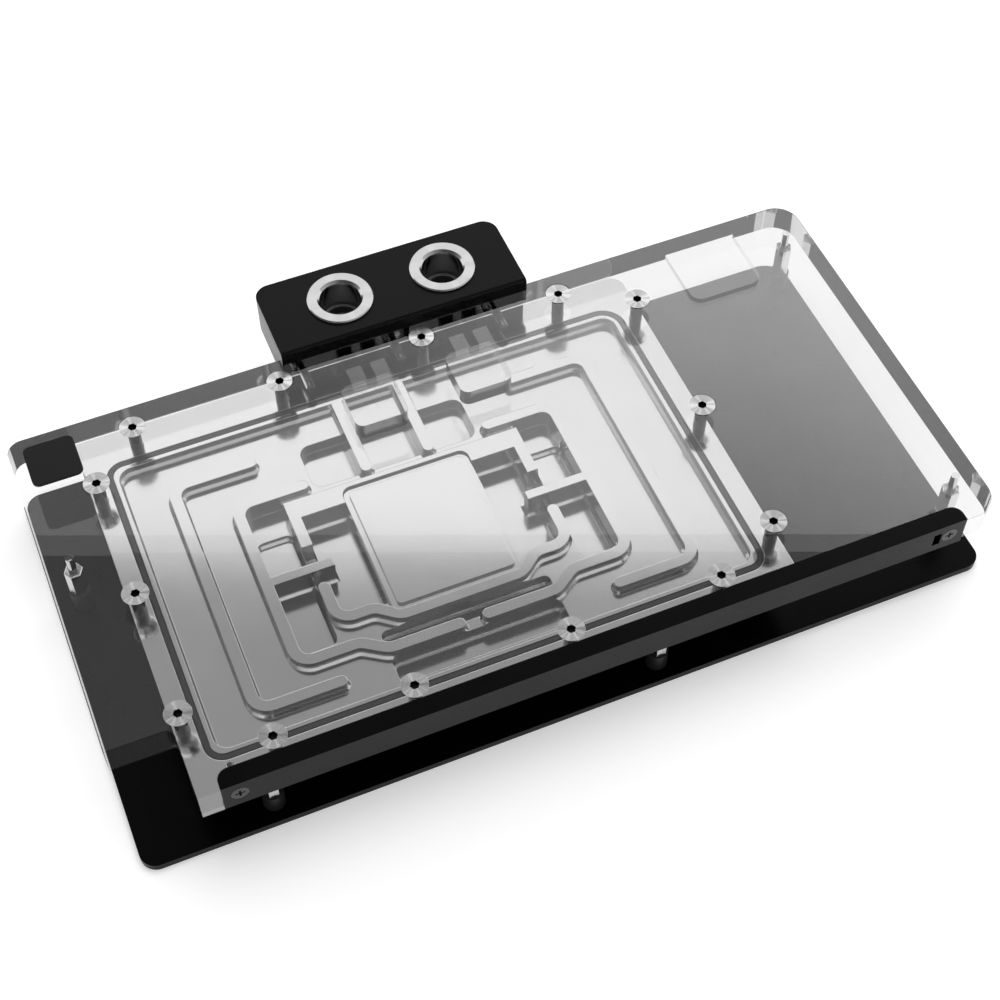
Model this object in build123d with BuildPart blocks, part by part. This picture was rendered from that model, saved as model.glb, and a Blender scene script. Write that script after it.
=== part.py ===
from build123d import *
import os

os.makedirs("parts", exist_ok=True)

# A full-cover graphics card water block, in millimetres, +Z up. X runs along the card and Y from the
# light bar's front face towards the port block. It lies on its backplate, as it would on a bench, and
# the origin is under the middle of its bounding box. Distances across the block are measured from the
# cover's left edge and from the light bar's front face, the two edges it would be machined from.

# Overall sizes
cover_length = 266.6
cover_depth = 135.3
cover_thickness = 9.2
port_block_reach = 27.1
backplate_thickness = 2.5
backplate_overhang = 0.7
edge_setback = 0.1
spacer_height = 6.7
post_height = 12.1

# Clear cover
cover_corner_left = 5.0
cover_corner_right = 8.0
wing_front = 22.9
wing_drop = 1.55
wing_gap = 0.15
notch_radius = 3.0
well_left = 101.8
well_width = 17.2
well_right = 136.6
well_depth = 17.0
well_back_wall = 15.3
well_height = 6.0
well_radius = 2.8
connector_relief_left = 222.0
connector_relief_width = 25.0
connector_relief_reach = 22.3
connector_relief_depth = 2.0
connector_relief_radius = 4.0

# Cold plate
plate_left = 19.5
plate_length = 185.1
plate_back_gap = 0.3
plate_top_gap = 0.03
plate_corner = 5.0
flange_thickness = 2.1
rim_depth = 6.1
rim_setback = 0.9
rim_front = 6.6
body_depth = 9.7
body_margin = 8.5
body_front = 13.0
body_back_margin = 12.3
die_pad_drop = 1.2
die_pad_length = 37.0
die_pad_width = 44.0

# Seal between the cold plate and the cover
seal_margin_left = 7.1
seal_margin_right = 7.5
seal_front = 14.0
seal_margin_back = 13.1
seal_corner = 4.9
seal_corner_back_right = 6.9
groove_width = 2.1
groove_depth = 1.6
seal_side_gap = 0.05
seal_top_gap = 0.03
seal_edge = 0.4

# Water channels, seen from the jet plate's centre
channel_inset = 2.35
channel_corner = 4.5
channel_depth = 3.2
channel_foot = 0.8
pocket_foot = 0.8
jet_x = 110.4
jet_y = 63.85
jet_length = 40.7
jet_width = 46.9
jet_corner = 3.0
jet_thickness = 4.4
jet_rim = 1.8
jet_rim_depth = 0.9
jet_gap = 0.1
rib_width = 3.5
rib_bend = 4.9
swan_bend = 5.5
inner_leg = 36.4
inner_leg_top = -7.8
inner_front = -20.0
inner_neck = 25.4
inner_neck_run = 6.5
inner_nose = -25.1
tab_bottom = 7.8
back_land = 25.2
back_land_edge = 18.4
cross_land_y = -0.1
cross_land_width = 3.0
cross_land_inner = 30.9
middle_leg = 51.7
middle_back = 29.6
middle_back_end = 30.4
middle_front = -29.4
middle_neck = 33.4
middle_neck_run = 7.5
middle_nose = -34.4
middle_gap = 4.5
outer_rib_left = 43.0
outer_rib_right = 179.4
outer_back = 43.8
outer_front = -39.3
outer_end_left = 42.4
outer_end_right = 44.0
back_rib_left = 10.1
back_rib_right = 10.3
back_rib_end = 28.9
deep_depth = 8.4
side_step_depth = 6.4
side_step_start = 18.1
side_pocket_front = -25.6
side_pocket_width = 11.7
slot_half = 26.5
slot_depth = 7.3
slot_corner = 2.0
front_slot_width = 8.8
front_slot_depth = 7.8
back_pocket_half = 26.9
back_pocket_front = 28.9
back_pocket_back = 45.6
back_pocket_depth = 7.4
back_pocket_corner = 3.6
pocket_corner = 2.5
fin_slot = 0.6
fin_pitch = 1.5
fin_count = 24
fin_depth = 8.4

# Light bar
bar_left = 25.8
bar_length = 229.2
bar_depth = 5.87
bar_drop = 1.95
bar_lip = 1.4
bar_corner = 3.5
bar_fit = 0.1
cable_notch_x = 219.95
cable_notch_width = 2.5
cable_notch_top = 3.0
cable_notch_height = 5.1
strip_slot_top = 2.6
strip_slot_height = 4.4
strip_slot_depth = 2.4
strip_margin = 9.0
strip_board = 0.6
strip_fit = 0.1
led_size = 3.0
led_height = 1.2
led_pitch = 16.0
led_count = 13
socket_length = 5.0
socket_wall = 0.5

# Port block
block_left = 87.9
block_length = 82.7
block_rise = 5.0
block_lip = 2.55
block_corner = 5.0
block_top_edge = 1.0
port_inset = 14.6
port_left = 112.6
port_pitch = 34.8
ring_radius = 10.6
ring_rise = 1.0
ring_sunk = 1.2
sleeve_radius = 8.4
sleeve_depth = 9.5
thread_radius = 6.58
mouth_chamfer = 0.8
ring_edge = 0.3
ring_fit = 0.05
passage_radius = 5.5
block_floor = 1.5
duct_width = 5.0
duct_web = 3.0
duct_height = 4.0
duct_top = 3.4
joint_seal_margin = 1.3
joint_seal_cord = 1.2
joint_seal_gap = 0.04
joint_gap = 0.05

# Cover screws, countersunk with a hexagon socket
screw_head = 4.05
screw_shank = 2.0
screw_grip = 5.0
screw_end_gap = 0.5
screw_fit = 0.1
thread_fit = 0.03
hex_socket = 2.5
hex_socket_depth = 1.6
screw_pitch = 47.2
screw_row_start = 18.3
screw_row_inset = 6.1
back_row_inset = 7.9
front_row = 10.2
column_inset = 2.6
right_column_start = 21.3
left_column_start = 26.7
left_column_pitch = 42.15

# Hexagon posts, round spacers and backplate screws
post_flats = 5.0
post_edge = 0.3
post_stud = 1.25
post_stud_length = 3.8
post_stud_hole = 6.5
post_left = (7.7, 91.1)
post_right_inset = 5.2
post_right_back_inset = 9.9
post_right_front = 16.7
post_front_y = 5.8
post_front_x = (39.9, 158.6)
post_notch = 3.35
spacer_radius = 3.2
spacer_bore = 1.7
small_shank = 1.48
small_head = 2.9
back_screw_grip = 4.5
cross_width = 0.6
cross_length = 2.8
cross_depth = 0.9

# Port block screws and light bar screws
block_screw_xs = (94.0, 124.5, 159.5)
block_screw_drop = 5.0
block_screw_head = 2.75
block_screw_head_height = 3.0
block_screw_seat = 12.0
block_screw_grip = 10.0
bar_screw_inset = 4.95
bar_screw_drop = 5.5
bar_screw_head = 2.6
bar_screw_shank = 1.2
bar_screw_grip = 3.5

# Badge
badge_size = 15.5
badge_left = 4.5
badge_back = 3.8
badge_thickness = 0.6
badge_corner = 2.2

# Places and levels worked out from the sizes above
left = -cover_length / 2
front = -(cover_depth + port_block_reach - backplate_overhang) / 2
back = front + cover_depth
card_level = backplate_thickness + spacer_height
cover_bottom = card_level + post_height
cover_top = cover_bottom + cover_thickness
wing_bottom = cover_bottom - wing_drop
plate_top = cover_bottom - plate_top_gap
flange_bottom = plate_top - flange_thickness
plate_right = plate_left + plate_length
bar_right = bar_left + bar_length
bar_bottom = cover_bottom - bar_drop
block_top = cover_top + block_rise
port_y = cover_depth + port_block_reach - port_inset
port_xs = (port_left, port_left + port_pitch)
seal_left = plate_left + seal_margin_left
seal_right = plate_right - seal_margin_right
seal_back = cover_depth - seal_margin_back
well_back = cover_depth - well_back_wall
rib_half = rib_width / 2


def spot(x, y):
    """A place measured from the cover's left edge and the light bar's front face."""
    return (left + x, front + y)


def jet_spot(x, y):
    """A place measured from the jet plate's centre."""
    return spot(jet_x + x, jet_y + y)


def area(x0, x1, y0, y1, radius=0.0, mode=Mode.ADD):
    """A rectangle between four edges, with rounded corners, drawn into the open sketch."""
    with Locations(spot((x0 + x1) / 2, (y0 + y1) / 2)):
        if radius:
            RectangleRounded(x1 - x0, y1 - y0, radius, mode=mode)
        else:
            Rectangle(x1 - x0, y1 - y0, mode=mode)


def jet_area(x0, x1, y0, y1, radius=0.0, mode=Mode.ADD):
    """The same rectangle, with its edges measured from the jet plate's centre."""
    area(jet_x + x0, jet_x + x1, jet_y + y0, jet_y + y1, radius, mode)


def corner(sketch, x, y):
    """The sketch's corner that is nearest to a place measured as spot does."""
    return sketch.vertices().sort_by_distance(spot(x, y) + (0,))[0]


def rib(points, bends):
    """A rib of even width with round ends, along straight runs joined by bends."""
    with BuildLine() as centre_line:
        if bends:
            FilletPolyline(*points, radius=bends)
        else:
            Line(*points)
        offset(amount=rib_half)
    make_face(centre_line.edges())


# Screw places: a row along the back and the front, and a column at each end
back_row = [
    spot(plate_left + screw_row_start + i * screw_pitch, cover_depth - back_row_inset)
    for i in range(4)
]
front_row_spots = [
    spot(plate_left + screw_row_start + i * screw_pitch + (screw_row_inset if i == 0 else 0), front_row)
    for i in range(4)
]
right_column = [
    spot(plate_right - column_inset, right_column_start + i * screw_pitch) for i in range(3)
]
left_column = [
    spot(plate_left + column_inset, left_column_start + i * left_column_pitch) for i in range(3)
]
cover_screw_spots = back_row + front_row_spots + right_column + left_column

# Post places, each with the level of the face it stands under
posts = {
    "left": (spot(*post_left), wing_bottom, post_stud_length),
    "right_back": (spot(cover_length - post_right_inset, cover_depth - post_right_back_inset), cover_bottom,
                   post_stud_length),
    "right_front": (spot(cover_length - post_right_inset, post_right_front), cover_bottom, post_stud_length),
    "front_left": (spot(post_front_x[0], post_front_y), flange_bottom, flange_thickness),
    "front_right": (spot(post_front_x[1], post_front_y), flange_bottom, flange_thickness),
}
post_spots = [place for place, _, _ in posts.values()]
front_post_spots = [posts["front_left"][0], posts["front_right"][0]]

# Backplate, countersunk from below for the screws that hold the stack
with BuildPart() as backplate:
    with BuildSketch() as outline:
        area(edge_setback, cover_length - edge_setback, -backplate_overhang, cover_depth + edge_setback)
        fillet(corner(outline, 0, 0), cover_corner_left)
        fillet(corner(outline, cover_length, 0), cover_corner_left)
        fillet(corner(outline, 0, cover_depth), cover_corner_left)
        fillet(corner(outline, cover_length, cover_depth), cover_corner_right)
    extrude(amount=backplate_thickness)
    with Locations(*[Plane(place + (0,), z_dir=(0, 0, -1)) for place in post_spots]):
        CounterSinkHole(spacer_bore, small_head + screw_fit, counter_sink_angle=90)
backplate.part.label = "backplate"
export_step(backplate.part, "parts/backplate.step")

# The seal's centre line, shared by its groove and the ring that lies in it
with BuildLine(Plane.XY.offset(plate_top - groove_depth / 2)) as seal_line:
    FilletPolyline(
        spot(seal_left, (seal_front + seal_back) / 2),
        spot(seal_left, seal_front),
        spot(seal_right, seal_front),
        spot(seal_right, seal_back),
        spot(seal_left, seal_back),
        radius=(0, seal_corner, seal_corner, seal_corner_back_right, seal_corner),
        close=True,
    )

# Ribs and lands that stand up to the plate's face between the channels
inner_edge = inner_leg + rib_half
with BuildSketch(Plane.XY.offset(plate_top)) as lands:
    rib(
        [
            jet_spot(-inner_leg, inner_leg_top),
            jet_spot(-inner_leg, inner_front),
            jet_spot(-inner_neck, inner_front),
            jet_spot(inner_neck_run - inner_neck, inner_nose),
            jet_spot(0, inner_nose),
        ],
        (rib_bend, swan_bend, swan_bend),
    )
    rib(
        [
            jet_spot(-middle_back_end, middle_back),
            jet_spot(-middle_leg, middle_back),
            jet_spot(-middle_leg, middle_front),
            jet_spot(-middle_neck, middle_front),
            jet_spot(middle_neck_run - middle_neck, middle_nose),
            jet_spot(-middle_gap, middle_nose),
        ],
        (rib_bend, rib_bend, swan_bend, swan_bend),
    )
    jet_area(-inner_edge, -inner_edge + rib_width, tab_bottom, back_land)
    jet_area(-middle_leg, -cross_land_inner, cross_land_y - cross_land_width / 2,
             cross_land_y + cross_land_width / 2)
    mirror(about=Plane.YZ.offset(left + jet_x))
    jet_area(-inner_edge, inner_edge, back_land_edge, back_land)
    rib(
        [
            jet_spot(-outer_end_left, outer_back),
            spot(outer_rib_left, jet_y + outer_back),
            spot(outer_rib_left, jet_y + outer_front),
            jet_spot(-outer_end_left, outer_front),
        ],
        (rib_bend, rib_bend),
    )
    rib(
        [
            jet_spot(outer_end_right, outer_back),
            spot(outer_rib_right, jet_y + outer_back),
            spot(outer_rib_right, jet_y + outer_front),
            jet_spot(outer_end_right, outer_front),
        ],
        (rib_bend, rib_bend),
    )
    for rib_x in (-back_rib_left, back_rib_right):
        rib([jet_spot(rib_x, back_rib_end), spot(jet_x + rib_x, seal_back)], ())


def bevel_foot(part, depth, width):
    """Bevels the foot of the walls round the floors just cut at this depth; slivers are too small for it."""
    level = plate_top - depth
    floors = part.faces().filter_by_position(Axis.Z, level - plate_top_gap, level + plate_top_gap)
    chamfer(floors.filter_by(lambda floor: floor.area > width ** 2).edges(), width)


# Cold plate: a thin flange, a rim that takes the screws and a thick body with the channels cut in it
with BuildPart() as cold_plate:
    with BuildSketch(Plane.XY.offset(flange_bottom)) as flange:
        area(plate_left, plate_right, bar_lip + bar_fit, cover_depth - plate_back_gap)
        area(plate_left, bar_left, 0, bar_depth)
        fillet(corner(flange, plate_right, cover_depth), plate_corner)
        fillet(corner(flange, plate_right, 0), plate_corner)
    extrude(amount=flange_thickness)
    with BuildSketch(Plane.XY.offset(plate_top - rim_depth)):
        area(plate_left + rim_setback, plate_right - rim_setback, rim_front,
             cover_depth - rim_setback, plate_corner - rim_setback)
        with Locations(*front_post_spots):
            Circle(post_notch, mode=Mode.SUBTRACT)
    extrude(amount=rim_depth - flange_thickness)
    with BuildSketch(Plane.XY.offset(plate_top - body_depth)):
        area(plate_left + body_margin, plate_right - body_margin, body_front,
             cover_depth - body_back_margin, plate_corner)
    extrude(amount=body_depth - rim_depth)
    with BuildSketch(Plane.XY.offset(plate_top - body_depth - die_pad_drop)):
        jet_area(-die_pad_length / 2, die_pad_length / 2, -die_pad_width / 2, die_pad_width / 2)
    extrude(amount=die_pad_drop)
    # Shallow channels, with the ribs and lands left standing
    with BuildSketch(Plane.XY.offset(plate_top)):
        area(seal_left + channel_inset, seal_right - channel_inset, seal_front + channel_inset,
             seal_back - channel_inset, channel_corner)
        add(lands.sketch, mode=Mode.SUBTRACT)
    extrude(amount=-channel_depth, mode=Mode.SUBTRACT)
    bevel_foot(cold_plate, channel_depth, channel_foot)
    # Pockets on both sides of the jet plate, and the seat of the jet plate itself
    with BuildSketch(Plane.XY.offset(plate_top)):
        jet_area(-inner_edge, inner_edge, inner_front + rib_half, back_land_edge, pocket_corner)
        for side in (-1, 1):
            inner_x = side * (middle_leg - rib_half - side_pocket_width)
            outer_x = side * (middle_leg - rib_half)
            jet_area(min(inner_x, outer_x), max(inner_x, outer_x), side_pocket_front,
                     side_step_start, pocket_corner)
        jet_area(-jet_length / 2, jet_length / 2, -jet_width / 2, jet_width / 2,
                 mode=Mode.SUBTRACT)
        add(lands.sketch, mode=Mode.SUBTRACT)
    extrude(amount=-deep_depth, mode=Mode.SUBTRACT)
    bevel_foot(cold_plate, deep_depth, pocket_foot)
    with BuildSketch(Plane.XY.offset(plate_top)):
        for side in (-1, 1):
            inner_x = side * inner_edge
            outer_x = side * (middle_leg - rib_half)
            jet_area(min(inner_x, outer_x), max(inner_x, outer_x), side_step_start - pocket_corner,
                     middle_back, pocket_corner)
        add(lands.sketch, mode=Mode.SUBTRACT)
    extrude(amount=-side_step_depth, mode=Mode.SUBTRACT)
    with BuildSketch(Plane.XY.offset(plate_top)):
        jet_area(-jet_length / 2 - jet_gap, jet_length / 2 + jet_gap, -jet_width / 2 - jet_gap,
                 jet_width / 2 + jet_gap, jet_corner)
    extrude(amount=-jet_thickness, mode=Mode.SUBTRACT)
    # Fine fins under the jet plate, open to the pockets at both ends
    with BuildSketch(Plane.XY.offset(plate_top - jet_thickness)):
        with Locations(jet_spot(0, 0)):
            with GridLocations(0, fin_pitch, 1, fin_count):
                Rectangle(jet_length + jet_rim, fin_slot)
    extrude(amount=-(fin_depth - jet_thickness), mode=Mode.SUBTRACT)
    # Slots in front of the jet plate, and the pocket behind it
    with BuildSketch(Plane.XY.offset(plate_top)):
        jet_area(-slot_half, slot_half, middle_nose + rib_half, inner_nose - rib_half, slot_corner)
        add(lands.sketch, mode=Mode.SUBTRACT)
    extrude(amount=-slot_depth, mode=Mode.SUBTRACT)
    bevel_foot(cold_plate, slot_depth, pocket_foot)
    with BuildSketch(Plane.XY.offset(plate_top)):
        jet_area(-slot_half, slot_half, middle_nose - rib_half - front_slot_width,
                 middle_nose - rib_half, slot_corner)
        add(lands.sketch, mode=Mode.SUBTRACT)
    extrude(amount=-front_slot_depth, mode=Mode.SUBTRACT)
    bevel_foot(cold_plate, front_slot_depth, pocket_foot)
    with BuildSketch(Plane.XY.offset(plate_top)):
        jet_area(-back_pocket_half, back_pocket_half, back_pocket_front, back_pocket_back,
                 back_pocket_corner)
        add(lands.sketch, mode=Mode.SUBTRACT)
    extrude(amount=-back_pocket_depth, mode=Mode.SUBTRACT)
    # Seal groove and tapped holes
    with BuildSketch(Plane.XY.offset(plate_top)):
        trace(seal_line.line, groove_width)
    extrude(amount=-groove_depth, mode=Mode.SUBTRACT)
    with Locations(*[place + (plate_top,) for place in cover_screw_spots]):
        Hole(screw_shank + thread_fit, screw_grip + screw_end_gap)
    with Locations(*[place + (plate_top,) for place in front_post_spots]):
        Hole(post_stud + thread_fit, flange_thickness)
cold_plate.part.label = "cold_plate"
export_step(cold_plate.part, "parts/cold_plate.step")

# Seal ring, a moulded cord with bevelled upper edges that lies in the groove
with BuildPart() as cover_seal:
    with BuildSketch(Plane.XY.offset(plate_top - groove_depth)):
        trace(seal_line.line, groove_width - 2 * seal_side_gap)
    extrude(amount=groove_depth - seal_top_gap)
    chamfer(cover_seal.faces().sort_by(Axis.Z)[-1].edges(), seal_edge)
cover_seal.part.label = "cover_seal"
export_step(cover_seal.part, "parts/cover_seal.step")

# Jet plate over the fins, flush with the cold plate inside a stepped rim
with BuildPart() as jet_plate:
    with BuildSketch(Plane.XY.offset(plate_top - jet_thickness)):
        jet_area(-jet_length / 2, jet_length / 2, -jet_width / 2, jet_width / 2, jet_corner)
    extrude(amount=jet_thickness - jet_rim_depth)
    with BuildSketch(Plane.XY.offset(plate_top - jet_rim_depth)):
        jet_area(jet_rim - jet_length / 2, jet_length / 2 - jet_rim, jet_rim - jet_width / 2,
                 jet_width / 2 - jet_rim, jet_corner / 2)
    extrude(amount=jet_rim_depth)
jet_plate.part.label = "jet_plate"
export_step(jet_plate.part, "parts/jet_plate.step")

# Water ducts between the port block and the wells in the cover: two beside each other for each port
duct_middle = cover_top - duct_top - duct_height / 2
duct_pair = 2 * duct_width + duct_web
duct_offset = (duct_width + duct_web) / 2
duct_plane = Plane(spot(0, cover_depth) + (duct_middle,), x_dir=(1, 0, 0), z_dir=(0, -1, 0))
duct_centres = [port_x + side * duct_offset for port_x in port_xs for side in (-1, 1)]

# Clear cover, with the wing that hangs beside the cold plate and the recess for the light bar
with BuildPart() as cover:
    with BuildSketch(Plane.XY.offset(cover_bottom)) as outline:
        area(0, cover_length, 0, cover_depth)
        area(0, plate_left, 0, wing_front, mode=Mode.SUBTRACT)
        area(bar_left, bar_right, 0, bar_depth, mode=Mode.SUBTRACT)
        fillet(corner(outline, 0, cover_depth), cover_corner_left)
        fillet(corner(outline, cover_length, cover_depth), cover_corner_right)
        fillet(corner(outline, cover_length, 0), cover_corner_right)
        fillet(corner(outline, plate_left, wing_front), notch_radius)
        fillet(corner(outline, bar_left, bar_depth), bar_corner)
        fillet(corner(outline, bar_right, bar_depth), bar_corner)
    extrude(amount=cover_thickness)
    with BuildSketch(Plane.XY.offset(wing_bottom)) as wing:
        area(0, plate_left - wing_gap, wing_front, cover_depth)
        fillet(corner(wing, 0, cover_depth), cover_corner_left)
    extrude(amount=wing_drop)
    # Wells that carry the water down into the channels
    with BuildSketch(Plane.XY.offset(cover_bottom)):
        for well_x in (well_left, well_right):
            area(well_x, well_x + well_width, well_back - well_depth, well_back, well_radius)
    extrude(amount=well_height, mode=Mode.SUBTRACT)
    with BuildSketch(duct_plane):
        for duct_x in duct_centres:
            with Locations((duct_x, 0)):
                Rectangle(duct_width, duct_height)
    extrude(amount=well_back_wall + well_radius, mode=Mode.SUBTRACT)
    # Relief for the power connectors, open to the back edge
    with BuildSketch(Plane.XY.offset(cover_bottom)):
        area(connector_relief_left, connector_relief_left + connector_relief_width,
             cover_depth - connector_relief_reach, cover_depth + connector_relief_radius,
             connector_relief_radius)
    extrude(amount=connector_relief_depth, mode=Mode.SUBTRACT)
    with Locations(*[place + (cover_top,) for place in cover_screw_spots]):
        CounterSinkHole(screw_shank + screw_fit, screw_head + screw_fit, counter_sink_angle=90)
    # Tapped holes for the port block's and the light bar's screws
    with Locations(*[
        Plane(spot(x, cover_depth) + (cover_top - block_screw_drop,), z_dir=(0, 1, 0))
        for x in block_screw_xs
    ]):
        Hole(small_shank + thread_fit, block_screw_grip + screw_end_gap)
    with Locations(*[
        Plane(spot(x, bar_depth) + (cover_top - bar_screw_drop,), z_dir=(0, -1, 0))
        for x in (bar_left + bar_screw_inset, bar_right - bar_screw_inset)
    ]):
        Hole(bar_screw_shank + thread_fit, bar_screw_grip + screw_end_gap)
    # Blind holes above the posts for their studs
    with Locations(*[
        Plane(posts[name][0] + (posts[name][1],), z_dir=(0, 0, -1))
        for name in ("left", "right_back", "right_front")
    ]):
        Hole(post_stud + thread_fit, post_stud_hole)
cover.part.label = "clear_cover"
export_step(cover.part, "parts/clear_cover.step")

# Cover screws, one node for each row or column
screw_groups = {
    "cover_screws_back": back_row,
    "cover_screws_front": front_row_spots,
    "cover_screws_right": right_column,
    "cover_screws_left": left_column,
}
for name, places in screw_groups.items():
    with BuildPart() as cover_screws:
        with Locations(*[place + (cover_top,) for place in places]):
            Cone(screw_shank, screw_head, screw_head - screw_shank,
                 align=(Align.CENTER, Align.CENTER, Align.MAX))
            Cylinder(screw_shank, cover_thickness + screw_grip,
                     align=(Align.CENTER, Align.CENTER, Align.MAX))
        with BuildSketch(Plane.XY.offset(cover_top)):
            with Locations(*places):
                RegularPolygon(hex_socket / 2, 6, major_radius=False)
        extrude(amount=-hex_socket_depth, mode=Mode.SUBTRACT)
    cover_screws.part.label = name
    export_step(cover_screws.part, f"parts/{name}.step")

# Light bar: an opaque bar whose front lip hangs over the edge of the cold plate
strip_plane = Plane(spot(0, bar_depth) + (cover_top,), x_dir=(1, 0, 0), z_dir=(0, -1, 0))
socket_middle = bar_left + cable_notch_x
strip_left = bar_left + strip_margin
strip_right = socket_middle + socket_length / 2 + strip_fit
strip_middle = -(strip_slot_top + strip_slot_height / 2)
bar_screw_planes = [
    Plane(spot(x, 0) + (cover_top - bar_screw_drop,), z_dir=(0, -1, 0))
    for x in (bar_left + bar_screw_inset, bar_right - bar_screw_inset)
]
with BuildPart() as light_bar:
    with BuildSketch(Plane.XY.offset(cover_bottom)) as outline:
        area(bar_left + bar_fit, bar_right - bar_fit, 0, bar_depth - bar_fit)
        fillet(corner(outline, bar_left, bar_depth), bar_corner)
        fillet(corner(outline, bar_right, bar_depth), bar_corner)
    extrude(amount=cover_thickness)
    with BuildSketch(Plane.XY.offset(bar_bottom)):
        area(bar_left + bar_fit, bar_right - bar_fit, 0, bar_lip)
    extrude(amount=bar_drop)
    with BuildSketch(strip_plane):
        with Locations(((strip_left + strip_right) / 2, strip_middle)):
            Rectangle(strip_right - strip_left, strip_slot_height)
    extrude(amount=strip_slot_depth, mode=Mode.SUBTRACT)
    with BuildSketch(strip_plane):
        with Locations((bar_left + cable_notch_x, -(cable_notch_top + cable_notch_height / 2))):
            Rectangle(cable_notch_width, cable_notch_height)
    extrude(amount=bar_depth, mode=Mode.SUBTRACT)
    with Locations(*bar_screw_planes):
        CounterSinkHole(bar_screw_shank + screw_fit, bar_screw_head + screw_fit, counter_sink_angle=90)
light_bar.part.label = "light_bar"
export_step(light_bar.part, "parts/light_bar.step")

# Light strip: a thin board with its lamps, lying in the bar's slot and facing the cover's edge
with BuildPart() as led_strip:
    with BuildSketch(strip_plane.offset(strip_slot_depth - strip_fit - strip_board)):
        with Locations(((strip_left + strip_right) / 2, strip_middle)):
            Rectangle(strip_right - strip_left - 2 * strip_fit, strip_slot_height - 2 * strip_fit)
    extrude(amount=strip_board)
    with BuildSketch(strip_plane.offset(strip_slot_depth - strip_fit - strip_board)):
        with Locations(((strip_left + socket_middle - socket_length / 2) / 2, strip_middle)):
            with GridLocations(led_pitch, 0, led_count, 1):
                Rectangle(led_size, led_size)
    extrude(amount=-led_height)
led_strip.part.label = "led_strip"
export_step(led_strip.part, "parts/led_strip.step")

# Socket at the end of the strip, behind the notch in the bar that the lamp lead plugs through
with BuildPart() as led_socket:
    with BuildSketch(strip_plane.offset(strip_slot_depth - strip_fit - strip_board)):
        with Locations((socket_middle, strip_middle)):
            Rectangle(socket_length, strip_slot_height - 2 * strip_fit)
            Rectangle(socket_length - 2 * socket_wall, strip_slot_height - 2 * strip_fit - 2 * socket_wall,
                      mode=Mode.SUBTRACT)
    extrude(amount=-led_height)
led_socket.part.label = "led_socket"
export_step(led_socket.part, "parts/led_socket.step")

# Light bar screws, countersunk with a cross recess
for name, plane in zip(("bar_screw_left", "bar_screw_right"), bar_screw_planes):
    with BuildPart() as bar_screw:
        with Locations(plane):
            Cone(bar_screw_shank, bar_screw_head, bar_screw_head - bar_screw_shank,
                 align=(Align.CENTER, Align.CENTER, Align.MAX))
            Cylinder(bar_screw_shank, bar_depth + bar_screw_grip,
                     align=(Align.CENTER, Align.CENTER, Align.MAX))
        with BuildSketch(plane):
            Rectangle(cross_length, cross_width)
            Rectangle(cross_width, cross_length)
        extrude(amount=-cross_depth, mode=Mode.SUBTRACT)
    bar_screw.part.label = name
    export_step(bar_screw.part, f"parts/{name}.step")

# Port block behind the cover, with a lip over the cover's edge and two ports in its top
block_back = cover_depth + port_block_reach
block_right = block_left + block_length
seal_length = duct_pair + 2 * joint_seal_margin
seal_height = duct_height + 2 * joint_seal_margin
port_passage_depth = block_rise + cover_thickness - block_floor


def joint_ring(half_width):
    """The flat ring round one pair of ducts, half_width to either side of its middle line."""
    for side, mode in ((1, Mode.ADD), (-1, Mode.SUBTRACT)):
        RectangleRounded(seal_length + 2 * side * half_width, seal_height + 2 * side * half_width,
                         joint_seal_margin + side * half_width, mode=mode)


with BuildPart() as port_block:
    with BuildSketch(Plane.XY.offset(cover_bottom)) as outline:
        area(block_left, block_right, cover_depth + joint_gap, block_back)
        fillet(corner(outline, block_left, block_back), block_corner)
        fillet(corner(outline, block_right, block_back), block_corner)
    extrude(amount=cover_thickness + block_rise)
    with BuildSketch(Plane.XY.offset(cover_top)):
        area(block_left, block_right, cover_depth - block_lip, cover_depth + joint_gap)
    extrude(amount=block_rise)
    top_face = port_block.faces().sort_by(Axis.Z)[-1]
    fillet(top_face.edges().sort_by(Axis.Y)[0], block_top_edge)
    with Locations(*[spot(x, port_y) + (block_top,) for x in port_xs]):
        CounterBoreHole(passage_radius, ring_radius + ring_fit, ring_sunk, port_passage_depth)
        Hole(sleeve_radius + ring_fit, sleeve_depth + ring_fit)
    with BuildSketch(duct_plane):
        for duct_x in duct_centres:
            with Locations((duct_x, 0)):
                Rectangle(duct_width, duct_height)
    extrude(amount=-(port_y - cover_depth), mode=Mode.SUBTRACT)
    with BuildSketch(duct_plane):
        for port_x in port_xs:
            with Locations((port_x, 0)):
                joint_ring(joint_seal_cord / 2)
    extrude(amount=-joint_seal_cord, mode=Mode.SUBTRACT)
    with Locations(*[
        Plane(spot(x, block_back) + (cover_top - block_screw_drop,), z_dir=(0, 1, 0))
        for x in block_screw_xs
    ]):
        CounterBoreHole(small_shank + screw_fit, block_screw_head + screw_fit,
                        port_block_reach - block_screw_seat, port_block_reach)
port_block.part.label = "port_block"
export_step(port_block.part, "parts/port_block.step")

# Threaded port rings let into the block's top
for name, port_x in zip(("port_ring_left", "port_ring_right"), port_xs):
    with BuildPart() as port_ring:
        with Locations(spot(port_x, port_y) + (block_top + ring_rise,)):
            Cylinder(ring_radius, ring_rise + ring_sunk, align=(Align.CENTER, Align.CENTER, Align.MAX))
            Cylinder(sleeve_radius, ring_rise + sleeve_depth,
                     align=(Align.CENTER, Align.CENTER, Align.MAX))
            Hole(thread_radius)
        rim = port_ring.faces().sort_by(Axis.Z)[-1].edges().sort_by(SortBy.RADIUS)
        chamfer(rim[0], mouth_chamfer)
        chamfer(rim[-1], ring_edge)
    port_ring.part.label = name
    export_step(port_ring.part, f"parts/{name}.step")

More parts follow.
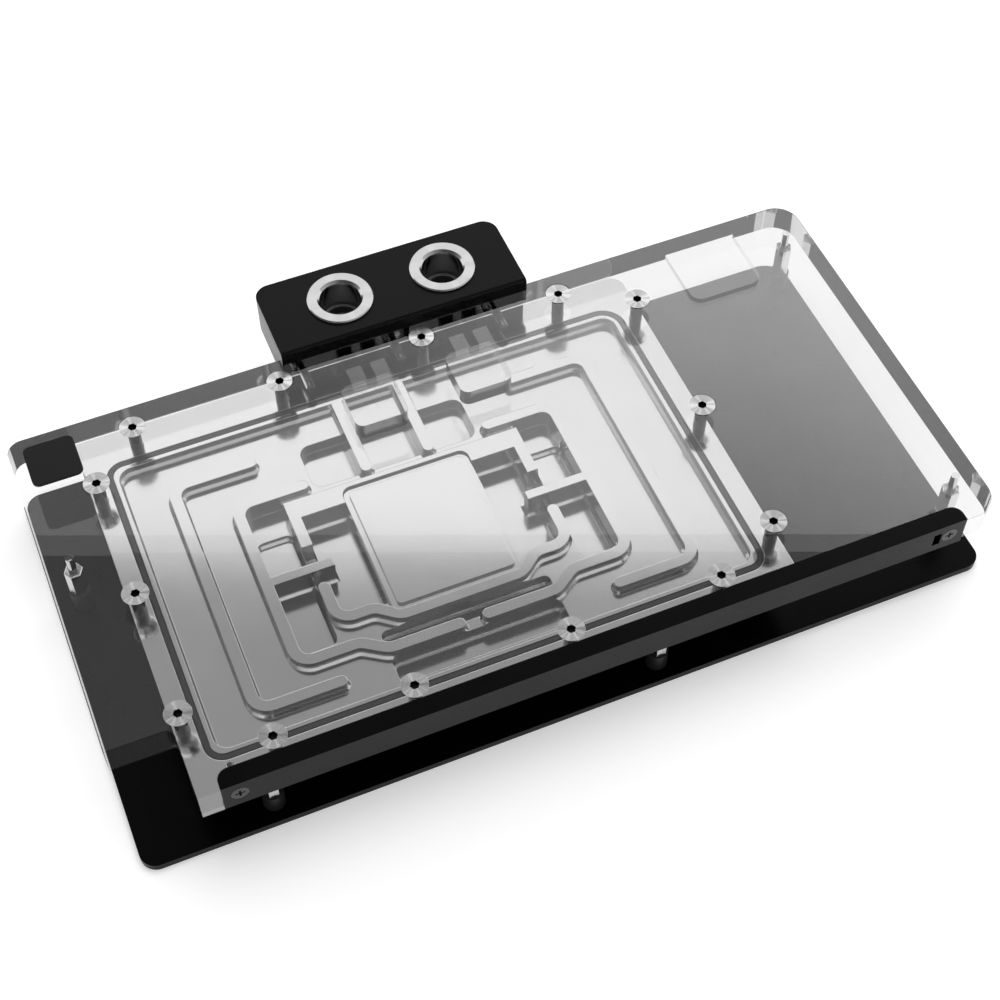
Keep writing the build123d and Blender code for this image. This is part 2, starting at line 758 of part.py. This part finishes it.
# Seals in the joint between the port block and the cover, one round each pair of ducts
for name, port_x in zip(("joint_seal_left", "joint_seal_right"), port_xs):
    with BuildPart() as joint_seal:
        with BuildSketch(duct_plane.offset(-joint_seal_gap)):
            with Locations((port_x, 0)):
                joint_ring(joint_seal_cord / 2 - joint_seal_gap)
        extrude(amount=-(joint_seal_cord - 2 * joint_seal_gap))
    joint_seal.part.label = name
    export_step(joint_seal.part, f"parts/{name}.step")

# Screws that pull the port block against the cover's back edge
with BuildPart() as port_block_screws:
    seats = [
        Plane(spot(x, cover_depth + block_screw_seat) + (cover_top - block_screw_drop,), z_dir=(0, 1, 0))
        for x in block_screw_xs
    ]
    with Locations(*seats):
        Cylinder(block_screw_head, block_screw_head_height,
                 align=(Align.CENTER, Align.CENTER, Align.MIN))
        Cylinder(small_shank, block_screw_seat + block_screw_grip,
                 align=(Align.CENTER, Align.CENTER, Align.MAX))
    for seat in seats:
        with BuildSketch(seat.offset(block_screw_head_height)):
            RegularPolygon(hex_socket / 2, 6, major_radius=False)
        extrude(amount=-hex_socket_depth, mode=Mode.SUBTRACT)
port_block_screws.part.label = "port_block_screws"
export_step(port_block_screws.part, "parts/port_block_screws.step")

# Hexagon posts between the block and the graphics card, and round spacers below the card
for name, (place, post_top, stud_length) in posts.items():
    with BuildPart() as post:
        with BuildSketch(Plane.XY.offset(card_level)):
            with Locations(place):
                RegularPolygon(post_flats / 2, 6, major_radius=False)
        extrude(amount=post_top - card_level)
        chamfer(post.faces().sort_by(Axis.Z)[-1].edges(), post_edge)
        with Locations(place + (post_top,)):
            Cylinder(post_stud, stud_length, align=(Align.CENTER, Align.CENTER, Align.MIN))
        with Locations(Plane(place + (card_level,), z_dir=(0, 0, -1))):
            Hole(small_shank + thread_fit, back_screw_grip)
    post.part.label = f"post_{name}"
    export_step(post.part, f"parts/post_{name}.step")
    with BuildPart() as spacer:
        with BuildSketch(Plane.XY.offset(backplate_thickness)):
            with Locations(place):
                Circle(spacer_radius)
                Circle(spacer_bore, mode=Mode.SUBTRACT)
        extrude(amount=spacer_height)
    spacer.part.label = f"spacer_{name}"
    export_step(spacer.part, f"parts/spacer_{name}.step")

# Backplate screws, countersunk flush with the face that the block lies on
screw_planes = [Plane(place + (0,), z_dir=(0, 0, -1)) for place in post_spots]
with BuildPart() as backplate_screws:
    with Locations(*screw_planes):
        Cone(small_shank, small_head, small_head - small_shank,
             align=(Align.CENTER, Align.CENTER, Align.MAX))
        Cylinder(small_shank, card_level + back_screw_grip - screw_end_gap,
                 align=(Align.CENTER, Align.CENTER, Align.MAX))
    with BuildSketch(Plane.XY):
        with Locations(*post_spots):
            Rectangle(cross_length, cross_width)
            Rectangle(cross_width, cross_length)
    extrude(amount=cross_depth, mode=Mode.SUBTRACT)
backplate_screws.part.label = "backplate_screws"
export_step(backplate_screws.part, "parts/backplate_screws.step")

# Bare badge plate on the cover
with BuildPart() as badge:
    with BuildSketch(Plane.XY.offset(cover_top)):
        area(badge_left, badge_left + badge_size, cover_depth - badge_back - badge_size,
             cover_depth - badge_back, badge_corner)
    extrude(amount=badge_thickness)
badge.part.label = "badge"
export_step(badge.part, "parts/badge.step")
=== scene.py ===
"""Looks of a graphics card water block: camera, studio and the finish of every part. Metres, +Z up."""

import bpy
import numpy as np
from mathutils import Matrix, Vector


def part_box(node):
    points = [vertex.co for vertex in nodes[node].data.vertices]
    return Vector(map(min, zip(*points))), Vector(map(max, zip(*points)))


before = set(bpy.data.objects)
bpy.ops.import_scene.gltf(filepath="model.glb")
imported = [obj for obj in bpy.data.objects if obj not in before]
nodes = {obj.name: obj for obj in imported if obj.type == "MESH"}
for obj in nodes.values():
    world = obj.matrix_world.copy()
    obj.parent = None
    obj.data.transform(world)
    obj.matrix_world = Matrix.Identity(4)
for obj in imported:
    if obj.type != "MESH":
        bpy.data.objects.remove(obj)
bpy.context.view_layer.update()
mm = 0.001

# Camera: where it stands, and the way its right side and its top point
camera_place = (-0.1223, -0.3113, 0.4675)
camera_right = (0.9236, -0.3833, -0.0008)
camera_up = (0.3119, 0.7504, 0.5827)
camera_lens = 65.43
camera_sensor = 36.0

# Card: white, behind the block, mirrored in its flat faces; the fade is given in parts of its height
card_middle = (0.109, 0.248)
card_facing = (0.382, 0.924)
card_width = 3.0
card_top = 0.4725
card_light = 1.0
card_foot_light = 1.08
card_fade_start = 0.8
card_fade_end = 0.55

# World: the horizon's white ends between two heights, and reaches higher in front and toward the right
ceiling_light = 0.32
front_ceiling_light = 0.07
horizon_light = 1.0
horizon_white_to = 0.14
horizon_dark_from = 0.38
horizon_front_lift = 0.5
horizon_right_lift = 0.2

# Lamp and floor: the floor's glow climbs with the distance from the block
key_place = (0.35, 0.45, 1.7)
key_size = 1.6
key_power = 21.0
floor_size = 40.0
floor_colour = 0.8
floor_glow = 0.36
far_floor_glow = 0.85
glow_climbs_from = 0.4
glow_climbs_to = 3.0

# Finishes: grains and lines per metre, the shares of painted light and painted shade that bore walls, low
# parts, sockets and rims keep or take, what rays off metal lose, and edge radii
cloud_grains = 55.0
acrylic_grains = 60.0
nickel_grains = 38.0
wear_grains = 420.0
rubber_grains = 3000.0
lacquer_grains = 300.0
cutter_lines = (60.0, 2200.0, 60.0)
painted_wedge_grains = 1.9
anodised_relief = 0.012 * mm
rubber_relief = 0.01 * mm
black_edge = 0.15 * mm
nickel_edge = 0.28 * mm
steel_edge = 0.1 * mm
lacquer_edge = 0.1 * mm
bore_wall_painted_light_share = 0.25
painted_deep_shade = 0.62
painted_socket_shade = 0.85
painted_rim_shade = 0.6
off_metal_loss = 0.8
acrylic_body = 0.57


class Wire:
    """One output socket. Arithmetic on it adds Math nodes, and node() adds a node of any other kind."""

    def __init__(self, tree, socket=None):
        self.tree, self.socket = tree, socket

    def node(self, kind, settings=None, inputs=None, output=0):
        """Adds a node: its settings first, then the values or wires of its sockets."""
        made = self.tree.nodes.new(kind)
        for name, value in (settings or {}).items():
            setattr(made, name, value)
        for name, value in (inputs or {}).items():
            if isinstance(value, Wire):
                self.tree.links.new(value.socket, made.inputs[name])
            else:
                made.inputs[name].default_value = value
        return Wire(self.tree, made.outputs[output]) if len(made.outputs) else made

    def math(self, operation, *others):
        """A Math node with this wire first."""
        return self.node("ShaderNodeMath", {"operation": operation}, dict(enumerate((self, *others))))

    def vector(self, operation, *others, output=0):
        """A Vector Math node with this wire first."""
        inputs = dict(enumerate((self, *others)))
        return self.node("ShaderNodeVectorMath", {"operation": operation}, inputs, output)

    def scaled(self, factor):
        """This vector times a number."""
        return self.node("ShaderNodeVectorMath", {"operation": "SCALE"}, {0: self, "Scale": factor})

    def length(self):
        """The length of this vector."""
        return self.vector("LENGTH", output="Value")

    def flat(self):
        """This vector with its height taken off."""
        return self.vector("MULTIPLY", (1.0, 1.0, 0.0))

    def axis(self, name):
        """One coordinate of this vector."""
        return self.node("ShaderNodeSeparateXYZ", None, {0: self}, name)

    def between(self, low, high, start=0.0, end=1.0):
        """A smooth change from start to end while this value goes from low to high."""
        settings = {"interpolation_type": "SMOOTHSTEP"}
        inputs = {"Value": self, "From Min": low, "From Max": high, "To Min": start, "To Max": end}
        return self.node("ShaderNodeMapRange", settings, inputs)

    def blend(self, low, high):
        """A colour from low to high with this value; 6 and 7 are the Mix node's colour sockets."""
        return self.node("ShaderNodeMix", {"data_type": "RGBA"}, {0: self, 6: low, 7: high}, 2)

    def __add__(self, other):
        return self.math("ADD", other)

    __radd__ = __add__

    def __sub__(self, other):
        return self.math("SUBTRACT", other)

    def __rsub__(self, other):
        return self.math("MULTIPLY_ADD", -1.0, other)

    def __mul__(self, other):
        return self.math("MULTIPLY", other)

    __rmul__ = __mul__

    def __lt__(self, other):
        return self.math("LESS_THAN", other)

    def __gt__(self, other):
        return self.math("GREATER_THAN", other)


def grey(value):
    """An opaque neutral colour."""
    return (value, value, value, 1.0)


def material(name):
    """An empty node material, and a wire from which its nodes are made."""
    made = bpy.data.materials.new(name)
    made.use_nodes = True
    made.node_tree.nodes.clear()
    return made, Wire(made.node_tree)


def place(tree):
    """The point of the surface, in metres."""
    return tree.node("ShaderNodeTexCoord", output="Object")


def facing(tree):
    """The way the surface faces."""
    return tree.node("ShaderNodeNewGeometry", output="Normal")


def ray(tree, kind):
    """1 for rays of this kind, 0 for all others."""
    return tree.node("ShaderNodeLightPath", output=kind)


def emission(tree, strength):
    """White light."""
    return tree.node("ShaderNodeEmission", None, {"Color": grey(1.0), "Strength": strength})


def surface(tree, settings):
    """Ends a material in a Principled shader with these sockets."""
    shader = tree.node("ShaderNodeBsdfPrincipled", None, settings)
    tree.node("ShaderNodeOutputMaterial", None, {"Surface": shader})


def noise(tree, point, scale, detail=3.0):
    """Noise from 0 to 1, with this many grains per metre."""
    inputs = {"Vector": point, "Scale": scale, "Detail": detail}
    return tree.node("ShaderNodeTexNoise", None, inputs, "Fac")


def stretched(tree, point, scales):
    """The point with each axis scaled by itself, which draws a noise out into lines."""
    return tree.node("ShaderNodeMapping", None, {"Vector": point, "Scale": scales})


def soft_edge(tree, radius, samples=4):
    """The normal with the sharp edges rounded off."""
    return tree.node("ShaderNodeBevel", {"samples": samples}, {"Radius": radius})


def grain(tree, height, depth, normal):
    """Small relief on top of a normal."""
    inputs = {"Strength": 1.0, "Distance": depth, "Height": height, "Normal": normal}
    return tree.node("ShaderNodeBump", None, inputs)


def spread(cloud, start, end):
    """From start to end over the middle of a noise, where nearly all of it lies."""
    return cloud.between(0.3, 0.7, start, end)


def mottled(shade, colour):
    """A dark colour that wavers by three tenths of itself with the shade."""
    return shade.blend(grey(colour * 0.7), grey(colour * 1.3))


def bottom(part):
    """The lowest level of a node."""
    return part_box(part)[0][2]


def top(part):
    """The highest level of a node."""
    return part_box(part)[1][2]


def axes_of(parts, spacing):
    """The axis of each screw, post or ring in some nodes: the points of a node within spacing of its first
    point are one piece, then those round the first point that is left, and so on."""
    centres = []
    for part in parts:
        mesh = nodes[part].data
        points = np.empty(len(mesh.vertices) * 3)
        mesh.vertices.foreach_get("co", points)
        points = points.reshape(-1, 3)[:, :2]
        while len(points):
            near = np.linalg.norm(points - points[0], axis=1) < spacing
            centres.append((points[near].min(axis=0) + points[near].max(axis=0)) / 2)
            points = points[~near]
    return centres


def arms(point, centres, reach):
    """The level vector to the point from the axis within reach. No point is near two, so a sum will do."""
    total = None
    for x, y in centres:
        arm = point.vector("SUBTRACT", (x, y, 0.0)).flat()
        arm = arm.scaled(arm.length() < reach)
        total = arm if total is None else total.vector("ADD", arm)
    return total


def nearest(point, centres):
    """Level distance from the point to the nearest axis."""
    flat = point.flat()
    least = None
    for x, y in centres:
        away = flat.vector("DISTANCE", (x, y, 0.0), output="Value")
        least = away if least is None else least.math("MINIMUM", away)
    return least


def anodised(name, colour, shine, roughness, grains, edge=black_edge, bores=None):
    """Black metal or plastic with a fine grain and slightly rounded edges. Bores are their axes, their reach,
    the level above which they count, and the painted reflection on their floors, of which walls keep a share."""
    made, tree = material(name)
    point = place(tree)
    speckle = noise(tree, point, grains, detail=4.0)
    cloud = noise(tree, point, cloud_grains, detail=2.0)
    shade = speckle * 0.6 + cloud * 0.4
    paint = mottled(shade, colour)
    if bores:
        axes, reach, foot, painted_floor_light = bores
        inside = (nearest(point, axes) < reach) * (point.axis("Z") > foot)
        floor = facing(tree).axis("Z").between(0.3, 0.7, bore_wall_painted_light_share, 1.0)
        # Painted reflection: bore floors are painted lighter, and walls keep a share of it
        painted_bore_light = ((shade * 0.6 + 0.7) * floor).blend(grey(0.0), grey(painted_floor_light))
        paint = inside.blend(paint, painted_bore_light)
    surface(tree, {
        "Base Color": paint,
        "Roughness": spread(cloud, roughness - 0.04, roughness + 0.04),
        "Specular IOR Level": shine,
        "Normal": grain(tree, speckle, anodised_relief, soft_edge(tree, edge)),
    })
    return made


def nickel(name, colour, roughness, wall_shade):
    """Nickel over milled metal: lapped on top, with cutter lines on the channel floors and walls painted
    darker as painted shade.
    """
    made, tree = material(name)
    point = place(tree)
    lapped = top("cold_plate")
    below = point.axis("Z").between(lapped - 1.0 * mm, lapped - 0.4 * mm, 1.0, 0.0)
    lines = noise(tree, stretched(tree, point, cutter_lines), 1.0)
    cloud = noise(tree, point, nickel_grains)
    wall = facing(tree).axis("Z").between(0.5, 0.95, 1.0, 0.0)
    # Painted shade: faces that stand up, the walls, are painted darker by wall_shade
    shade = (cloud * 0.08 + 0.92) * (1 - wall * wall_shade)
    surface(tree, {
        "Base Color": shade.blend(grey(0.0), grey(colour)),
        "Metallic": 1.0,
        "Roughness": lines * below * 0.04 + spread(cloud, roughness - 0.01, roughness + 0.02),
        "Normal": soft_edge(tree, nickel_edge, samples=8),
    })
    return made


def turned(part, colour, roughness, spacing, reach, painted_highlight_depth, pitch=0.16 * mm, tilt=0.22,
           socket=None, painted_shade_depth=None):
    """Metal turned on a lathe: grooves in rings round each axis tilt the flat faces, which carry painted
    highlights in wedges. Painted shade darkens the socket and what lies more than the given depth below the
    top."""
    made, tree = material(f"turned_{part}")
    point = place(tree)
    height = point.axis("Z")
    level = facing(tree).axis("Z").math("ABSOLUTE").between(0.6, 0.9)
    offset = arms(point, axes_of([part], spacing), reach)
    outward = offset.vector("NORMALIZE")
    # Painted highlight: light and dark wedges round each axis, painted into the colour of flat faces
    painted_wedge_highlight = noise(tree, outward, painted_wedge_grains, detail=1.0)
    painted_wedge_highlight = painted_wedge_highlight.between(0.38, 0.62, 1.0 - painted_highlight_depth, 1.0 + painted_highlight_depth / 4)
    wear = noise(tree, point, wear_grains)
    shade = (wear * 0.1 + 0.93) * (level * (painted_wedge_highlight - 1) + 1)
    # Painted shade: what lies more than this depth below the top is painted darker
    if painted_shade_depth:
        painted_shade_from = top(part) - painted_shade_depth
        shade = shade * (1 - height.between(painted_shade_from - 0.4 * mm, painted_shade_from, 1.0, 0.0) * painted_deep_shade)
    # Painted shade: the hex socket is painted dark
    if socket:
        painted_socket_mask = (offset.length() < socket) * (height < top(part) - 0.15 * mm)
        shade = shade * (1 - painted_socket_mask * painted_socket_shade)
    groove = (offset.length() * (2 * np.pi / pitch)).math("SINE")
    tilted = soft_edge(tree, steel_edge).vector("ADD", outward.scaled(groove * level * tilt))
    surface(tree, {
        "Base Color": shade.blend(grey(0.0), grey(colour)),
        "Metallic": 1.0,
        "Roughness": spread(wear, roughness - 0.03, roughness + 0.03),
        "Normal": tilted.vector("NORMALIZE"),
    })
    return made


def acrylic(name, near_mirror, painted_far_mirror, glass_ior, wall_least, wall_most, rim_mirror, bores):
    """Clear acrylic, a mirror laid over transparency: faint on flat faces, with a painted reflection a little
    stronger toward the far right corner, strong in the walls from inside, but not for rays off metal, and
    with painted shade in the rims. Bores are the screws' axes, their reach and their own faint mirror."""
    made, tree = material(name)
    point = place(tree)
    height = point.axis("Z")
    level = facing(tree).axis("Z").math("ABSOLUTE").between(0.55, 0.8)
    foot, head = bottom("clear_cover"), top("clear_cover")
    foot_rim = height.between(foot + 0.5 * mm, foot + 0.3 * mm)
    head_rim = height.between(head - 0.5 * mm, head - 0.3 * mm)
    # Painted shade: the rims are painted darker in the colour and given a stronger mirror
    rim = (head_rim + foot_rim) * (1 - level)
    wall = tree.node("ShaderNodeFresnel", None, {"IOR": glass_ior})
    wall = wall.math("MINIMUM", wall_most).math("MAXIMUM", wall_least)
    wall = wall.math("MAXIMUM", rim * rim_mirror)
    # Painted reflection: the flat faces' mirror grows toward the far right corner
    sheet = (point.axis("X") + point.axis("Y")).between(-0.04, 0.14, near_mirror, painted_far_mirror)
    axes, reach, bore_mirror = bores
    bore = nearest(point, axes) < reach
    mirror = bore * bore_mirror + (1 - bore) * (level * sheet + (1 - level) * wall)
    body = noise(tree, point, acrylic_grains, detail=2.0) * 0.08 + acrylic_body
    surface(tree, {
        "Base Color": (body * (1 - rim * painted_rim_shade)).blend(grey(0.0), grey(1.0)),
        "Metallic": 1.0,
        "Roughness": 0.0,
        "Alpha": mirror * (1 - ray(tree, "Is Glossy Ray") * off_metal_loss),
    })
    return made


def rubber(name, colour):
    """Moulded rubber: dull black with a soft sheen."""
    made, tree = material(name)
    speckle = noise(tree, place(tree), rubber_grains)
    surface(tree, {
        "Base Color": mottled(speckle, colour),
        "Roughness": speckle.between(0.2, 0.8, 0.42, 0.55),
        "Normal": grain(tree, speckle, rubber_relief, facing(tree)),
    })
    return made


def lacquer(name, colour):
    """White lacquer or moulded white plastic, a little uneven."""
    made, tree = material(name)
    cloud = noise(tree, place(tree), lacquer_grains)
    surface(tree, {
        "Base Color": cloud.blend(grey(colour * 0.9), grey(colour)),
        "Roughness": cloud.between(0.2, 0.8, 0.3, 0.42),
        "Normal": soft_edge(tree, lacquer_edge),
    })
    return made


def dress(parts, finish):
    """Gives the named nodes a finish."""
    for part in parts:
        for slot in nodes[part].material_slots:
            slot.material = finish


def named(*starts):
    """The nodes whose names start with one of these."""
    return sorted(name for name in nodes if name.startswith(starts))


def flat_sheet(name, corner, along, up):
    """A stage sheet: corner plus u times along plus v times up, with u and v from 0 to 1."""
    u, v = np.meshgrid([0.0, 1.0], [0.0, 1.0])
    points = np.array(corner) + u[..., None] * np.array(along) + v[..., None] * np.array(up)
    mesh = bpy.data.meshes.new(name)
    mesh.from_pydata(points.reshape(-1, 3).tolist(), [], [(0, 1, 3, 2)])
    sheet = bpy.data.objects.new(name, mesh)
    bpy.context.scene.collection.objects.link(sheet)
    return sheet


def make_floor():
    """A white floor that keeps the shadow: diffuse, with a glow that only the eye, mirrors and glass see."""
    half = floor_size / 2
    sheet = flat_sheet("floor", (-half, -half, 0), (floor_size, 0, 0), (0, floor_size, 0))
    made, tree = material("studio_floor")
    seen = ray(tree, "Is Camera Ray") + ray(tree, "Is Glossy Ray") + ray(tree, "Is Transmission Ray")
    away = place(tree).length()
    glow = away.between(glow_climbs_from, glow_climbs_to, floor_glow, far_floor_glow)
    matt = tree.node("ShaderNodeBsdfDiffuse", None, {"Color": grey(floor_colour)})
    light = emission(tree, seen.math("MINIMUM", 1.0) * glow)
    both = tree.node("ShaderNodeAddShader", None, {0: matt, 1: light})
    tree.node("ShaderNodeOutputMaterial", None, {"Surface": both})
    sheet.data.materials.append(made)


def make_card():
    """The white card behind the block, brighter toward its foot; the camera looks through it."""
    across = np.array((card_facing[1], -card_facing[0], 0.0)) * card_width
    corner = np.array((*card_middle, 0.0)) - across / 2
    sheet = flat_sheet("card", corner, across, (0, 0, card_top))
    made, tree = material("studio_card")
    fade = (card_top * card_fade_start, card_top * card_fade_end)
    light = place(tree).axis("Z").between(*fade, card_light, card_foot_light)
    tree.node("ShaderNodeOutputMaterial", None, {"Surface": emission(tree, light)})
    sheet.data.materials.append(made)
    sheet.visible_camera = False
    sheet.visible_shadow = False


def make_world():
    """A studio that is white low down and dark overhead, darkest in front."""
    world = bpy.data.worlds.new("studio")
    bpy.context.scene.world = world
    world.use_nodes = True
    world.node_tree.nodes.clear()
    tree = Wire(world.node_tree)
    way = tree.node("ShaderNodeTexCoord", output="Generated")
    behind = way.vector("DOT_PRODUCT", (*card_facing, 0.0), output="Value")
    ceiling = behind.between(-0.6, 0.3, front_ceiling_light, ceiling_light)
    rise = way.axis("Z") + behind * horizon_front_lift - way.axis("X") * horizon_right_lift
    white = rise.between(horizon_white_to, horizon_dark_from, 1.0, 0.0)
    light = ceiling + white * (horizon_light - ceiling)
    glow = tree.node("ShaderNodeBackground", None, {"Color": grey(1.0), "Strength": light})
    tree.node("ShaderNodeOutputWorld", None, {"Surface": glow})


def make_key():
    """A broad soft lamp overhead that lights the block and stays out of its mirrors."""
    light = bpy.data.lights.new("key", "AREA")
    light.size = key_size
    light.energy = key_power
    lamp = bpy.data.objects.new("key", light)
    lamp.location = key_place
    lamp.rotation_euler = (-Vector(key_place)).to_track_quat("-Z", "Y").to_euler()
    lamp.visible_glossy = False
    lamp.visible_camera = False
    bpy.context.scene.collection.objects.link(lamp)


def make_camera():
    """The photo's view, from its place and its own axes."""
    lens = bpy.data.cameras.new("view")
    lens.lens = camera_lens
    lens.sensor_width = camera_sensor
    right, up = Vector(camera_right).normalized(), Vector(camera_up).normalized()
    back = right.cross(up)
    turn = Matrix((right, up, back)).transposed().to_4x4()
    camera = bpy.data.objects.new("view", lens)
    camera.matrix_world = Matrix.Translation(camera_place) @ turn
    bpy.context.scene.collection.objects.link(camera)
    bpy.context.scene.camera = camera


make_floor()
make_card()
make_world()
make_key()
make_camera()
bpy.context.scene.view_settings.view_transform = "Standard"

# Black metal and plastic; grains per metre
dress(["backplate"], anodised("anodised_plate", colour=0.0008, shine=0.1, roughness=0.28, grains=2600.0))
dress(["light_bar"], anodised("anodised_bar", colour=0.001, shine=0.12, roughness=0.26, grains=2600.0))
dress(["badge"], anodised("badge_black", colour=0.004, shine=0.2, roughness=0.12, grains=900.0))
dress(["bar_screw_left", "bar_screw_right", "backplate_screws"],
      anodised("black_steel", colour=0.02, shine=0.5, roughness=0.3, grains=3000.0, edge=0.08 * mm))
dress(named("spacer"), anodised("black_acetal", colour=0.012, shine=0.4, roughness=0.4, grains=1900.0))
# Port bores: axes, reach, lowest level, and the floor colour painted lighter as a painted reflection
port_bores = (axes_of(named("port_ring"), 30 * mm), 7.5 * mm, bottom("port_block") + 0.5 * mm, 0.26)
dress(["port_block"], anodised("milled_acetal", colour=0.002, shine=0.14, roughness=0.28, grains=1900.0,
                               edge=0.3 * mm, bores=port_bores))

# Nickel and acrylic
dress(["cold_plate"], nickel("nickel_plate", colour=0.9152, roughness=0.12, wall_shade=0.55))
dress(["jet_plate"], nickel("nickel_jet", colour=0.936, roughness=0.12, wall_shade=0.3))
screw_bores = (axes_of(named("cover_screws"), 10 * mm), 4.4 * mm, 0.05)
dress(["clear_cover"], acrylic("clear_acrylic", near_mirror=0.107, painted_far_mirror=0.28, glass_ior=1.49,
                               wall_least=0.1, wall_most=0.97, rim_mirror=0.5, bores=screw_bores))

# Seals and the light strip's parts
dress(["cover_seal", "joint_seal_left", "joint_seal_right"], rubber("black_rubber", colour=0.012))
dress(["led_strip"], lacquer("led_board", colour=0.8))
dress(["led_socket"], lacquer("socket_white", colour=0.75))

# Turned steel: each node needs its own axes
for part in named("cover_screws", "port_block_screws"):
    dress([part], turned(part, colour=0.78, roughness=0.14, spacing=10 * mm, reach=5 * mm, painted_highlight_depth=0.2,
                         socket=1.5 * mm, painted_shade_depth=0.5 * mm))
for part in named("post"):
    dress([part], turned(part, colour=0.75, roughness=0.16, spacing=10 * mm, reach=4 * mm, painted_highlight_depth=0.2))
for part in named("port_ring"):
    dress([part], turned(part, colour=0.66, roughness=0.14, spacing=30 * mm, reach=12 * mm, painted_highlight_depth=0.06,
                         pitch=0.25 * mm, tilt=0.06, painted_shade_depth=1.2 * mm))
